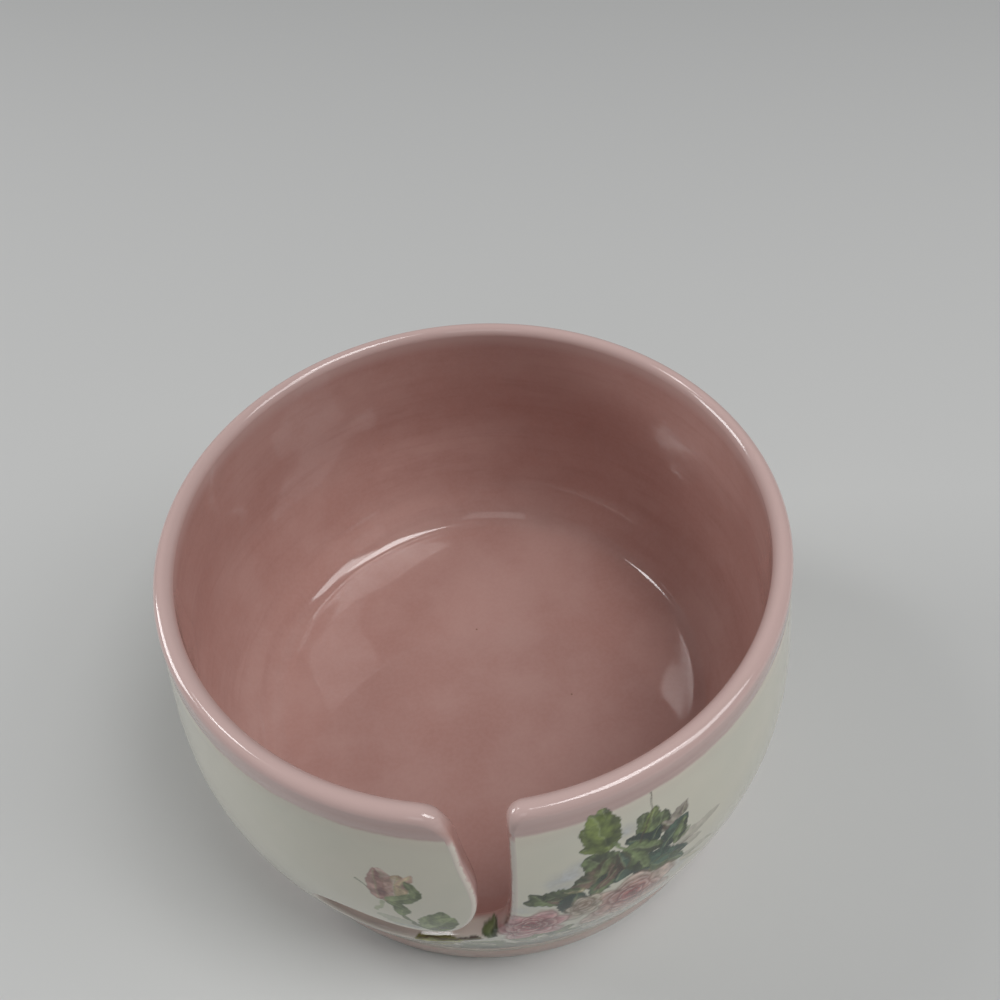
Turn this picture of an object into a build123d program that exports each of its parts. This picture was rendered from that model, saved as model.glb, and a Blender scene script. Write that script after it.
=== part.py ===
from build123d import *
import math
import os

# Ceramic yarn bowl with a hooked yarn slot. Millimetres, +Z up.
# The origin is the middle of the foot, on the surface that the bowl stands on.
# The slot opens towards -Y, and its pocket runs round towards -X.

# Overall size
BOWL_HEIGHT = 86.0
RIM_OUTER_RADIUS = 70.0
LIP_RADIUS = 2.1
LIP_HEIGHT = BOWL_HEIGHT - LIP_RADIUS
RIM_INNER_RADIUS = RIM_OUTER_RADIUS - 2 * LIP_RADIUS
BELLY_RADIUS = 74.2
BELLY_HEIGHT = 46.0

# Foot: a bare ring to stand on, with a recess inside it
FOOT_RADIUS = 65.6
FOOT_TOP_RADIUS = 66.3
FOOT_HEIGHT = 8.0
FOOT_EDGE = 1.0
FOOT_RING_WIDTH = 6.0
RECESS_DEPTH = 8.5
RECESS_DRAFT = 2.0

# Outside of the wall, from the foot up to the rim: radius and height
OUTSIDE = [
    (FOOT_TOP_RADIUS, FOOT_HEIGHT),
    (70.8, 24.0),
    (BELLY_RADIUS, BELLY_HEIGHT),
    (72.5, 66.0),
    (RIM_OUTER_RADIUS, LIP_HEIGHT),
]

# Inside of the wall, from the rim down to the tight bend above the floor: radius and height
INSIDE_BELLY_RADIUS = 69.0
BEND_TOP = (60.2, 19.3)
INSIDE = [
    (RIM_INNER_RADIUS, LIP_HEIGHT),
    (67.6, 64.0),
    (INSIDE_BELLY_RADIUS, BELLY_HEIGHT),
    (67.3, 34.0),
    (64.4, 25.0),
    BEND_TOP,
]
BEND_MIDDLE = (58.0, 17.5)
FLOOR_RADIUS = 55.0
FLOOR_HEIGHT = 16.5

# Glaze and decals
GLAZE = 0.5
BEND_GLAZE = 0.5 * GLAZE
RIM_BAND_HEIGHT = 79.5
DECAL = 0.15
DECAL_LOW = 10.0
DECAL_HIGH = 78.5

# Yarn slot, drawn flat: x is the length round a circle of SLOT_RADIUS, and z is the height.
# The last two numbers are the way that the edge moves when the slot is made wider.
SLOT_RADIUS = 72.0
TONGUE_CORNER = (-16.3, 85.5, -1.0, 0.0)
TONGUE_EDGE = [
    (-10.3, 80.0, -1.0, 0.0),
    (-6.6, 57.0, -1.0, 0.0),
    (-10.5, 44.3, -0.8, 0.5),
    (-19.5, 39.7, 0.0, 1.0),
    (-35.0, 43.0, 0.0, 1.0),
    (-42.1, 40.9, 0.0, 1.0),
]
POCKET_END = (-43.5, 38.9, -1.0, 0.0)
LOWER_EDGE = [
    (-42.6, 37.1, 0.0, -1.0),
    (-35.0, 30.5, 0.0, -1.0),
    (-28.5, 28.0, 0.0, -1.0),
    (-16.0, 32.2, 0.0, -1.0),
    (-4.2, 39.1, 0.5, -1.0),
    (-0.9, 48.0, 1.0, 0.0),
    (0.2, 61.0, 1.0, 0.0),
    (0.5, 80.0, 1.0, 0.0),
]
RIM_END_CORNER = (3.7, 85.7, 1.0, 0.0)
TONGUE_RISE = Vector(-0.32, 0, 1)
TONGUE_RUN_OUT = Vector(-1, 0, 0.35)
RIM_END_RISE = Vector(0.02, 0, 1)
RIM_END_RUN_OUT = Vector(1, 0, 0.35)
ABOVE_RIM = 10.0

# Decals, drawn flat in the same way
ROSE_SPRAY = [
    (1.5, 46),
    (2.5, 57),
    (13, 62),
    (15, 76),
    (27, 77.5),
    (39, 69),
    (47, 57),
    (40, 42),
    (27, 30),
    (9, 31),
    (1.5, 37),
]
ROSEBUD = [(-30, 60), (-25, 68), (-17, 64), (-11, 53), (-12, 43.5), (-19, 43.5), (-24, 52)]
LOWER_LEAF = [(-21, 22), (-19, 28), (-11, 32), (-3, 34), (-1, 28), (-4, 20), (-14, 17)]

# Radial cuts run between these two upright planes, inside and outside the wall.
CUT_INSIDE = 40.0
CUT_OUTSIDE = 95.0
SAMPLES = 24

# How far the zones that divide the section reach past it
MARGIN = 4.0


def rz(radius, height):
    """A point of the section, which lies on the XZ plane."""
    return (radius, 0, height)


def outer_wall(depth=0.0):
    """The outside of the wall, from the foot to the rim, at a depth under the glaze."""
    return Edge.make_spline([rz(radius - depth, height) for radius, height in OUTSIDE])


def bend_top(depth):
    """Where the inside of the wall passes into the bend above the floor."""
    radius, height = BEND_TOP
    return rz(radius + depth, height - depth * BEND_GLAZE / GLAZE)


def inner_wall(depth=0.0):
    """The inside of the wall, from the rim down to the bend above the floor."""
    points = [rz(radius + depth, height) for radius, height in INSIDE[:-1]]
    return Edge.make_spline(points + [bend_top(depth)])


def lip(depth=0.0):
    """The rounded rim, from the outside over to the inside."""
    return Edge.make_three_point_arc(
        rz(RIM_OUTER_RADIUS - depth, LIP_HEIGHT),
        rz(RIM_OUTER_RADIUS - LIP_RADIUS, BOWL_HEIGHT - depth),
        rz(RIM_INNER_RADIUS + depth, LIP_HEIGHT),
    )


def floor_bend(depth=0.0):
    """The tight bend where the wall meets the floor."""
    radius, height = BEND_MIDDLE
    middle = rz(radius, height - depth)
    return Edge.make_spline([bend_top(depth), middle, rz(FLOOR_RADIUS, FLOOR_HEIGHT - depth)])


def polyline(corners):
    """Straight edges through a list of corners."""
    return [Edge.make_line(a, b) for a, b in zip(corners, corners[1:])]


def foot_edges():
    """The recess under the bowl and the bare ring that it stands on, from the middle out."""
    ring_inside = FOOT_RADIUS - FOOT_RING_WIDTH
    return polyline(
        [
            rz(0, RECESS_DEPTH),
            rz(ring_inside - RECESS_DRAFT, RECESS_DEPTH),
            rz(ring_inside, 0),
            rz(FOOT_RADIUS - FOOT_EDGE, 0),
            rz(FOOT_RADIUS, FOOT_EDGE),
        ]
    )


def bowl_profile(depth=0.0):
    """Half of the bowl's section at a depth under the glaze."""
    foot_side = [rz(FOOT_RADIUS, FOOT_EDGE), rz(FOOT_TOP_RADIUS - depth, FOOT_HEIGHT)]
    if depth:
        foot_side.insert(1, rz(FOOT_RADIUS - depth, FOOT_EDGE))
    floor = [
        rz(FLOOR_RADIUS, FLOOR_HEIGHT - depth),
        rz(0, FLOOR_HEIGHT - depth),
        rz(0, RECESS_DEPTH),
    ]
    curves = [outer_wall(depth), lip(depth), inner_wall(depth), floor_bend(depth)]
    return Face(Wire(foot_edges() + polyline(foot_side) + curves + polyline(floor)))


def zone(low_radius, high_radius, low, high):
    """A rectangle of the section, between two radii and two heights."""
    corners = [
        rz(low_radius, low),
        rz(high_radius, low),
        rz(high_radius, high),
        rz(low_radius, high),
    ]
    return Face(Wire.make_polygon(corners, close=True))


def lathe(section):
    """Turns a section once round the Z axis."""
    return revolve(section, axis=Axis.Z, revolution_arc=360)


def upright_wire(flat_edges, distance):
    """Carries a flat outline out to an upright plane, along level lines from the Z axis."""
    edges = []
    for edge in flat_edges:
        points = []
        for step in range(SAMPLES + 1):
            flat = edge @ (step / SAMPLES)
            angle = flat.X / SLOT_RADIUS
            points.append((distance * math.tan(angle), -distance, flat.Z))
        edges.append(Edge.make_spline(points))
    return Wire(edges)


def radial_cut(flat_edges):
    """A solid through the wall whose sides all point at the Z axis."""
    wires = [upright_wire(flat_edges, CUT_INSIDE), upright_wire(flat_edges, CUT_OUTSIDE)]
    return Solid.make_loft(wires, ruled=True)


def widened(point, grow):
    """A point of the slot's edge, moved out of the slot by grow."""
    x, z, way_x, way_z = point
    return rz(x + way_x * grow, z + way_z * grow)


def slot_outline(grow=0.0):
    """The slot, drawn flat and made wider all round by grow."""
    tongue = Edge.make_spline([widened(point, grow) for point in TONGUE_EDGE])
    lower_edge = Edge.make_spline([widened(point, grow) for point in LOWER_EDGE])
    pocket_end = widened(POCKET_END, grow)
    tip = Edge.make_three_point_arc(tongue @ 1, pocket_end, lower_edge @ 0)
    left_top = Vector(widened(TONGUE_CORNER, grow))
    right_top = Vector(widened(RIM_END_CORNER, grow))
    left_corner = Edge.make_spline(
        [tongue @ 0, left_top],
        tangents=[TONGUE_RISE, TONGUE_RUN_OUT],
    )
    right_corner = Edge.make_spline(
        [lower_edge @ 1, right_top],
        tangents=[RIM_END_RISE, RIM_END_RUN_OUT],
    )
    top = BOWL_HEIGHT + ABOVE_RIM
    over = polyline([right_top, rz(right_top.X, top), rz(left_top.X, top), left_top])
    return [left_corner, tongue, tip, lower_edge, right_corner] + over


def beyond_wall(shift):
    """The part of the section beyond the wall's outside, moved outwards by shift."""
    wall = outer_wall().moved(Location((shift, 0, 0)))
    high = rz(BELLY_RADIUS + MARGIN, LIP_HEIGHT)
    low = rz(BELLY_RADIUS + MARGIN, FOOT_HEIGHT)
    return Face(Wire([wall] + polyline([wall @ 1, high, low, wall @ 0])))


def decal_sheet():
    """A thin layer all round the outside of the wall, from which the decals are cut."""
    heights = zone(FOOT_RADIUS, BELLY_RADIUS + MARGIN, DECAL_LOW, DECAL_HIGH)
    return lathe((beyond_wall(0) - beyond_wall(DECAL)) & heights)


def decal(points, slot):
    """One decal, as far as the slot leaves room for it."""
    outline = Edge.make_spline([rz(*point) for point in points], periodic=True)
    return (decal_sheet() & radial_cut([outline])) - slot


def make_parts():
    """Every separate layer of the bowl, by name."""
    glazed = bowl_profile()
    clay_section = bowl_profile(GLAZE)
    coat = glazed - clay_section
    outside = BELLY_RADIUS + MARGIN
    wall_zone = zone(FOOT_TOP_RADIUS - MARGIN, outside, FOOT_HEIGHT, RIM_BAND_HEIGHT)
    wall_section = coat & wall_zone & beyond_wall(-LIP_RADIUS)
    foot_section = coat & zone(FOOT_RADIUS - MARGIN, outside, 0, FOOT_HEIGHT)
    slot = radial_cut(slot_outline())
    raw_slot = radial_cut(slot_outline(GLAZE))
    liner = lathe(coat - wall_section - foot_section)
    cut_face = (lathe(glazed) & raw_slot) - slot
    return {
        "clay_body": lathe(clay_section) - raw_slot,
        "liner_glaze": (liner - raw_slot) + cut_face,
        "wall_glaze": lathe(wall_section) - raw_slot,
        "foot_glaze": lathe(foot_section),
        "rose_spray_decal": decal(ROSE_SPRAY, raw_slot),
        "rosebud_decal": decal(ROSEBUD, raw_slot),
        "lower_leaf_decal": decal(LOWER_LEAF, raw_slot),
    }


os.makedirs("parts", exist_ok=True)
for name, shape in make_parts().items():
    export_step(shape, f"parts/{name}.step")
    print(name, len(shape.solids()), round(shape.volume, 1))
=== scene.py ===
"""A glazed yarn bowl with printed roses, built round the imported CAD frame."""

import math

import bpy
import numpy as np
from mathutils import Matrix, Vector
from mathutils.geometry import delaunay_2d_cdt


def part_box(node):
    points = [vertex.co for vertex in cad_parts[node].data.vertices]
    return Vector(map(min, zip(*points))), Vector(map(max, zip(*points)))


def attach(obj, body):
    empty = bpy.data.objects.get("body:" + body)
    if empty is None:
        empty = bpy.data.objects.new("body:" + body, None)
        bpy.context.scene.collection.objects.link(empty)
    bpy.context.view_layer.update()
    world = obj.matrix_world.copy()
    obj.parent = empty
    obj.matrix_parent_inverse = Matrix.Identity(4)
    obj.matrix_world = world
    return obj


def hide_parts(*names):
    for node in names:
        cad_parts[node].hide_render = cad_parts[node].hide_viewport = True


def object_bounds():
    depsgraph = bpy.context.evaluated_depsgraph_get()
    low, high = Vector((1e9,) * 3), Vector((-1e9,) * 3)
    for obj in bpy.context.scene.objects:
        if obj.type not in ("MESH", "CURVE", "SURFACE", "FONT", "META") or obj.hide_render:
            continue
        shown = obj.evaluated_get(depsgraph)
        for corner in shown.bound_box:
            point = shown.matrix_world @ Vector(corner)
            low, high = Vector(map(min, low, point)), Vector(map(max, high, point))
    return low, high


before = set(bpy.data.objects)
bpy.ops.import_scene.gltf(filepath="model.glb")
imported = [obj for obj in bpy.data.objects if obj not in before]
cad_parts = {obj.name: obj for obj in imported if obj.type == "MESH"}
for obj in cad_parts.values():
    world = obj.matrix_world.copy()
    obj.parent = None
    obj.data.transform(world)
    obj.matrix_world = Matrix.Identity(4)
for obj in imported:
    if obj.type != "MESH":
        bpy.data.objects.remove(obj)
cad_low, cad_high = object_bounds()

# All lengths below are millimetres. The bowl's axis is Z, and the slot is at azimuth 0, towards -Y.
MM = 0.001

# Sizes that the frame gives
HEIGHT = cad_high.z / MM
FOOT_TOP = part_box("foot_glaze")[1].z / MM
FOOT_TOP_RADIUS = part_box("foot_glaze")[1].x / MM
BAND_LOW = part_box("wall_glaze")[1].z / MM
BELLY_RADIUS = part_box("wall_glaze")[1].x / MM

# The section of the wall: radius and height
LIP_RADIUS = 2.1
LIP_LOW = HEIGHT - LIP_RADIUS
BELLY_HEIGHT = 46
OUTSIDE = [
    (FOOT_TOP_RADIUS, FOOT_TOP), (BELLY_RADIUS - 3.4, 24), (BELLY_RADIUS, BELLY_HEIGHT),
    (BELLY_RADIUS - 1.7, 66), (BELLY_RADIUS - 4.2, LIP_LOW), (BELLY_RADIUS - 4.5, HEIGHT),
]
INSIDE = [
    (60.2, 19.3), (64.4, 25), (67.3, 34), (69, BELLY_HEIGHT), (67.6, 64), (65.8, LIP_LOW),
    (65.6, HEIGHT),
]
FLOOR_HEIGHT = 16.5
BEND = [(60.2, 19.3), (58.9, 18.05), (57.2, 17.05), (55, 16.6), (52, FLOOR_HEIGHT)]
FOOT_SIDE = [(FOOT_TOP_RADIUS, FOOT_TOP), (FOOT_TOP_RADIUS - 0.1, 5), (65.6, 1)]
RECESS = [(64.6, 0), (60.4, 0), (59.6, 0.7), (57.9, 7.6), (56.8, 8.5), (0, 8.5)]
FOOT_RING = [(64.9, 0), (65.6, 1)]
RECESS_ROUNDING = 0.8

# The swelling of the rolled rim and the groove under the pink band: middle, width and how far out
ROLL = (HEIGHT - 2.6, 2.4, 0.22)
GROOVE = (BAND_LOW - 0.4, 0.9, -0.12)

# The slot's edge, drawn flat: the length round a circle of SLOT_RADIUS from azimuth 0, and the height
SLOT_RADIUS = 72
TURN = 2 * math.pi * SLOT_RADIUS
LEFT_RIM_END = [(-17.8, HEIGHT), (-14.8, 85.75), (-12.6, 84.7), (-11.3, 82.6)]
TONGUE = [
    (-10.3, 80), (-8.6, 70), (-6.75, 59), (-7.3, 51), (-9.1, 46), (-12.6, 41.6),
    (-19.5, 39.7), (-28, 41.6), (-35, 43), (-40.5, 42),
]
POCKET_END = [(-43.2, 39.9), (-42.9, 37.5)]
LOWER = [
    (-39.4, 33.8), (-34.5, 30.2), (-28.5, 28), (-22.4, 28.6), (-16, 32.2), (-10, 36),
    (-4.6, 38.9), (-1.9, 43.5), (-0.9, 48), (0, 58), (0.45, 70), (0.6, 79),
]
RIGHT_RIM_END = [(0.75, 82.6), (1.55, 84.7), (3.2, 85.8), (5.9, HEIGHT)]
NOTCH = (79.2, 0.7, 0.55)  # height, half height and depth of the small nick under the right rim end
CUT_ROUNDING = 1.25
RIM_BLEND_LOW, RIM_BLEND = LIP_LOW - 5, 6  # where the cut's rounding passes into the rim's
THROAT_LEFT = -2  # left of this, the edge is the tongue's
THROAT_MIDDLE = -6
SLOT_REACH = 60  # beyond this length, the edge is all rim

# How finely the surfaces are divided
COLUMNS = 252
ROW = 1.8
SLOT_STEP = 0.42
RIM_STEP = TURN / COLUMNS
ARC_STEPS = 7
FLAT_STEPS = 5
SKIRT_TOP = 22
BEND_STEP = 0.55
FINE_ROW = 0.9
FLOOR_RINGS = 22
EDGE_GAP = 0.6  # no point of the wall's mesh is nearer than this to the edge's points
FAR = 1e9
WELD = 0.004  # points in the same cell of this size are joined
GLAZE = 0.4
CLAY_DEPTH = 0.42


def smooth_step(t):
    """0 below 0, 1 above 1, and smooth in between."""
    t = np.clip(t, 0, 1)
    return t * t * (3 - 2 * t)


def smooth_curve(knots, values):
    """A natural cubic curve through the points, as a function that also gives its slope."""
    knots, values = np.asarray(knots, float), np.asarray(values, float)
    last, gaps = len(knots) - 1, np.diff(knots)
    system, target = np.eye(last + 1), np.zeros_like(values)
    rise = (values[1:] - values[:-1]) / gaps.reshape((-1,) + (1,) * (values.ndim - 1))
    for i in range(1, last):
        system[i, i - 1 : i + 2] = gaps[i - 1], 2 * (gaps[i - 1] + gaps[i]), gaps[i]
        target[i] = 6 * (rise[i] - rise[i - 1])
    bend = np.linalg.solve(system, target)

    def at(where):
        where = np.asarray(where, float)
        i = np.clip(np.searchsorted(knots, where) - 1, 0, last - 1)
        shape = where.shape + (1,) * (values.ndim - 1)
        gap = gaps[i].reshape(shape)
        b = (where - knots[i]).reshape(shape) / gap
        a = 1 - b
        value = a * values[i] + b * values[i + 1]
        value = value + ((a**3 - a) * bend[i] + (b**3 - b) * bend[i + 1]) * gap**2 / 6
        slope = (values[i + 1] - values[i]) / gap
        slope = slope + ((3 * b**2 - 1) * bend[i + 1] - (3 * a**2 - 1) * bend[i]) * gap / 6
        return value, slope

    return at


def bump(x, middle, width):
    """A smooth hump of height 1, and its slope."""
    t = (x - middle) / width
    value = np.exp(-t * t)
    return value, -2 * t / width * value


# The radii of the wall's outside, without its rim and groove, and of its inside, at a height
outside_curve = smooth_curve([z for _, z in OUTSIDE], [r for r, _ in OUTSIDE])
inner_radius = smooth_curve([z for _, z in INSIDE], [r for r, _ in INSIDE])


def outer_radius(z):
    """The radius of the outside of the wall, with its rolled rim and the groove under it."""
    radius, slope = outside_curve(z)
    for middle, width, proud in (ROLL, GROOVE):
        value, value_slope = bump(z, middle, width)
        radius = radius + proud * value
        slope = slope + proud * value_slope
    return radius, slope


def place(s, z, radius):
    """Points in space for lengths round the flat drawing, at the given heights and radii."""
    angle = np.asarray(s) / SLOT_RADIUS
    return np.stack([radius * np.sin(angle), -radius * np.cos(angle), z + 0 * angle], -1)


def length_round(points):
    """The lengths round the flat drawing that points in space lie at."""
    return np.arctan2(points[:, 0], -points[:, 1]) * SLOT_RADIUS


def unit(ways):
    """Directions with a length of 1."""
    return ways / np.linalg.norm(ways, axis=-1, keepdims=True)


def facing(s, slope, way):
    """Normals of a turned surface: way is 1 on the outside and -1 on the inside."""
    return way * unit(place(s, -slope, 1))


def walk(points, step):
    """Points evenly spaced by about step along a smooth curve through the given points."""
    points = np.asarray(points, float)
    along = np.concatenate([[0], np.cumsum(np.linalg.norm(np.diff(points, axis=0), axis=1))])
    curve = smooth_curve(along, points)
    count = max(2, int(round(along[-1] / step)) + 1)
    return curve(np.linspace(0, along[-1], count))[0]


def rim_run(first, last):
    """Points of the rim between two lengths round it."""
    s = np.linspace(first, last, int(round((last - first) / RIM_STEP)) + 1)
    return np.stack([s, np.full(len(s), HEIGHT)], -1)


def edge_loop():
    """The wall's top edge from the seam at the back, through the slot and round to the seam again.

    Returns the edge, the smooth line that its rounding starts from, and the rounding's radius.
    """
    through = LEFT_RIM_END + TONGUE + POCKET_END + LOWER + RIGHT_RIM_END
    left, right = rim_run(-TURN / 2, through[0][0]), rim_run(through[-1][0], TURN / 2)
    edge = np.concatenate([left[:-1], walk(through, SLOT_STEP), right[1:]])
    along = unit(np.gradient(edge, axis=0))
    inward = np.stack([along[:, 1], -along[:, 0]], -1)
    near_rim = smooth_step((edge[:, 1] - RIM_BLEND_LOW) / RIM_BLEND)
    rounding = CUT_ROUNDING + (LIP_RADIUS - CUT_ROUNDING) * near_rim
    start = edge + inward * rounding[:, None]
    height, half, deep = NOTCH
    edge[:, 0] += deep * bump(edge[:, 1], height, half)[0] * (edge[:, 0] > THROAT_LEFT)
    return edge, start, rounding


def edge_strip(edge, start, rounding):
    """The rounded edge of the wall, as a grid of points: one column for each point of the loop."""
    quarter = np.linspace(0, math.pi / 2, ARC_STEPS + 1)
    rows, normals, blends = [], [], []
    outward = edge - start
    scale = outer_radius(edge[:, 1])[0] / SLOT_RADIUS

    def row(turn, side, flat=0):
        """One line along the strip. side is 1 from the outside and -1 from the inside."""
        s, z = (start + outward * math.sin(turn)).T
        out, out_slope = outer_radius(z)
        inn, inn_slope = inner_radius(z)
        low = np.minimum(rounding, (out - inn) / 2)
        deep = low * (1 - math.cos(turn))
        radius = out - deep if side > 0 else inn + deep
        if flat:
            radius = out - low - (out - inn - 2 * low) * flat
        face = facing(s, out_slope if side > 0 else inn_slope, side)
        angle = s / SLOT_RADIUS
        level = np.stack([np.cos(angle), np.sin(angle), 0 * angle], -1)
        way = level * (outward[:, 0] * scale)[:, None]
        way = unit(way + place(s, 1, out_slope) * outward[:, 1][:, None])
        rows.append(place(s, z, radius))
        normals.append(unit(face * math.cos(turn) + way * math.sin(turn)))
        blends.append(np.full(len(s), (1 - math.sin(turn)) * (side > 0) if not flat else 0))

    for turn in quarter:
        row(turn, 1)
    for i in range(1, FLAT_STEPS):
        row(math.pi / 2, 1, i / FLAT_STEPS)
    for turn in quarter[::-1]:
        row(turn, -1)
    return np.stack(rows), np.stack(normals), np.stack(blends)


def grid_faces(kept):
    """The squares of a grid whose four corners are all kept."""
    whole = kept[:-1, :-1] & kept[1:, :-1] & kept[:-1, 1:] & kept[1:, 1:]
    i, j = np.nonzero(whole)
    columns = kept.shape[1]
    first = i * columns + j
    faces = np.stack([first, first + 1, first + columns + 1, first + columns], -1)
    return [tuple(int(v) for v in face) for face in faces]


class Skin:
    """A surface built up from patches, with a normal and a blend value at each vertex."""

    def __init__(self):
        self.points, self.normals, self.blends = [], [], []
        self.faces = {}
        self.count = 0

    def add(self, region, points, normals, faces, blends=None):
        """Adds a patch to the named region. Faces run anticlockwise as seen from outside."""
        points = np.asarray(points, float).reshape(-1, 3)
        self.points.append(points)
        self.normals.append(np.asarray(normals, float).reshape(-1, 3))
        self.blends.append(np.zeros(len(points)) if blends is None else np.ravel(blends))
        held = self.faces.setdefault(region, [])
        held += [tuple(v + self.count for v in face) for face in faces]
        self.count += len(points)

    def add_grid(self, region, points, normals, blends=None):
        """Adds a grid of rows and columns."""
        self.add(region, points, normals, grid_faces(np.ones(points.shape[:2], bool)), blends)

    def welded(self):
        """Points, normals, blends and faces, with the patches joined where they meet."""
        points, normals = np.concatenate(self.points), np.concatenate(self.normals)
        blends = np.concatenate(self.blends)
        keys = np.round(points / WELD).astype(np.int64)
        _, first, same = np.unique(keys, axis=0, return_index=True, return_inverse=True)
        same = same.ravel()
        highest = np.zeros(len(first))
        np.maximum.at(highest, same, blends)
        faces = {}
        for region, held in self.faces.items():
            kept = []
            for face in held:
                ring = [int(same[v]) for v in face]
                ring = [v for i, v in enumerate(ring) if v != ring[i - 1]]
                if len(ring) > 2:
                    kept.append(tuple(ring))
            faces[region] = kept
        return points[first], normals[first], highest, faces


def flat_mesh(start):
    """Triangles over the wall's flat drawing, below the line that the edge's rounding starts from."""
    seam = TURN / 2
    across = np.linspace(-seam, seam, COLUMNS + 1)
    low = np.arange(SKIRT_TOP, BAND_LOW, ROW)[:-1]
    levels = np.concatenate([low, [BAND_LOW - ROW * 0.6, BAND_LOW, BAND_LOW + ROW]])
    s, z = np.meshgrid(across, levels)
    inside = np.stack([s.ravel(), z.ravel()], -1)
    gap = np.full(len(inside), FAR)
    for point in start:
        gap = np.minimum(gap, np.linalg.norm(inside - point, axis=1))
    on_seam = np.isclose(np.abs(inside[:, 0]), seam)
    on_base = np.isclose(inside[:, 1], SKIRT_TOP)
    inside = inside[(gap > EDGE_GAP) | on_seam | on_base]
    points = [tuple(p) for p in start] + [tuple(p) for p in inside]
    index = {(round(x, 5), round(y, 5)): i for i, (x, y) in enumerate(points)}

    def line(places):
        found = [index[(round(x, 5), round(y, 5))] for x, y in places]
        return list(zip(found, found[1:]))

    rim = [(i, i + 1) for i in range(len(start) - 1)]
    base = line([(x, SKIRT_TOP) for x in across])
    walls = line([(-seam, y) for y in levels] + [tuple(start[0])])
    walls += line([(seam, y) for y in levels] + [tuple(start[-1])])
    level = np.sort(inside[np.isclose(inside[:, 1], BAND_LOW), 0])
    ends = band_ends(start)
    left = line([(x, BAND_LOW) for x in level if x < start[ends[0], 0]])
    right = line([(x, BAND_LOW) for x in level if x > start[ends[1], 0]])
    joins = [(left[-1][1], ends[0]), (ends[1], right[0][0])]
    fixed = rim + base + walls + left + right + joins
    made, _, triangles, *_ = delaunay_2d_cdt([Vector(p) for p in points], fixed, [], 1, 1e-7)
    return np.array([tuple(v) for v in made]), [tuple(t) for t in triangles]


def band_ends(start):
    """The points of the slot where the rim band's lower line meets it, on the left and the right."""
    high = (np.abs(start[:, 0]) < SLOT_REACH) & (start[:, 1] > BELLY_HEIGHT)
    ends = []
    for side in (start[:, 0] < THROAT_MIDDLE, start[:, 0] > THROAT_MIDDLE):
        away = np.where(high & side, np.abs(start[:, 1] - BAND_LOW), np.inf)
        ends.append(int(away.argmin()))
    return ends


def turned(line):
    """Rows of points and normals for a turned surface through (radius, height) points.

    The line runs up the outside, down the inside, and outwards underneath.
    """
    line = np.asarray(line, float)
    along = np.gradient(line, axis=0)
    across = np.linspace(-TURN / 2, TURN / 2, COLUMNS + 1)
    rows, normals = [], []
    for (radius, z), (dr, dz) in zip(line, along):
        rows.append(place(across, z, radius))
        size = math.hypot(dr, dz)
        normals.append(place(across, -dr / size, dz / size))
    return np.stack(rows), np.stack(normals)


def rounded(corners, radius, steps=4):
    """Straight runs through the corners, with each corner inside the line rounded off."""
    path = [corners[0]]
    for before, here, after in zip(corners, corners[1:], corners[2:]):
        here = np.array(here)
        back, on = np.array(before) - here, np.array(after) - here
        reach = min(radius, np.linalg.norm(back) / 2, np.linalg.norm(on) / 2)
        first = here + back / np.linalg.norm(back) * reach
        last = here + on / np.linalg.norm(on) * reach
        for i in range(steps + 1):
            t = i / steps
            path.append(tuple((1 - t) ** 2 * first + 2 * t * (1 - t) * here + t * t * last))
    return path + [corners[-1]]


def wall_line(low, high, radius_at, step=ROW):
    """The wall's section between two heights."""
    heights = np.linspace(low, high, int(round(abs(high - low) / step)) + 1)
    return [(radius_at(z)[0], z) for z in heights]


def bowl_skin(edge, start, rounding):
    """The whole outer surface of the bowl, in named regions."""
    skin = Skin()
    flat, triangles = flat_mesh(start)
    s, z = flat[:, 0], flat[:, 1]
    out, out_slope = outer_radius(z)
    inn, inn_slope = inner_radius(z)
    middle = np.array([flat[list(t), 1].mean() for t in triangles])
    wall = [t for t, m in zip(triangles, middle) if m < BAND_LOW]
    band = [t for t, m in zip(triangles, middle) if m >= BAND_LOW]
    outside = place(s, z, out), facing(s, out_slope, 1)
    skin.add("wall", *outside, wall)
    skin.add("band", *outside, band)
    skin.add("liner", place(s, z, inn), facing(s, inn_slope, -1), [t[::-1] for t in triangles])
    skin.add_grid("edge", *edge_strip(edge, start, rounding))
    skin.add_grid("skirt", *turned(wall_line(FOOT_TOP, SKIRT_TOP, outer_radius)))
    down = wall_line(SKIRT_TOP, BEND[0][1], inner_radius, FINE_ROW)
    bend = list(walk(BEND, BEND_STEP))
    across = [(r, FLOOR_HEIGHT) for r in np.linspace(BEND[-1][0], 0, FLOOR_RINGS)]
    skin.add_grid("floor", *turned(down[:-1] + bend[:-1] + across))
    skin.add_grid("foot", *turned(walk(FOOT_SIDE, FINE_ROW)[::-1]))
    skin.add_grid("under", *turned(rounded(RECESS[::-1] + FOOT_RING, RECESS_ROUNDING)))
    return skin.welded()


def used(faces):
    """The vertices that some faces use, in order."""
    return np.unique([v for face in faces for v in face])


def shell(points, normals, blends, faces, thickness):
    """A closed layer under the given faces of a surface."""
    kept = used(faces)
    new = {int(v): i for i, v in enumerate(kept)}
    top = [tuple(new[v] for v in face) for face in faces]
    count = len(kept)
    low = [tuple(v + count for v in face[::-1]) for face in top]
    directed = {(a, b) for face in top for a, b in zip(face, face[1:] + face[:1])}
    sides = [(b, a, a + count, b + count) for a, b in directed if (b, a) not in directed]
    both = np.concatenate([points[kept], points[kept] - normals[kept] * thickness])
    facing_both = np.concatenate([normals[kept], -normals[kept]])
    return both, facing_both, np.tile(blends[kept], 2), top + low + sides


def added(name, data):
    """A new object in the scene."""
    made = bpy.data.objects.new(name, data)
    bpy.context.scene.collection.objects.link(made)
    return made


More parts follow.
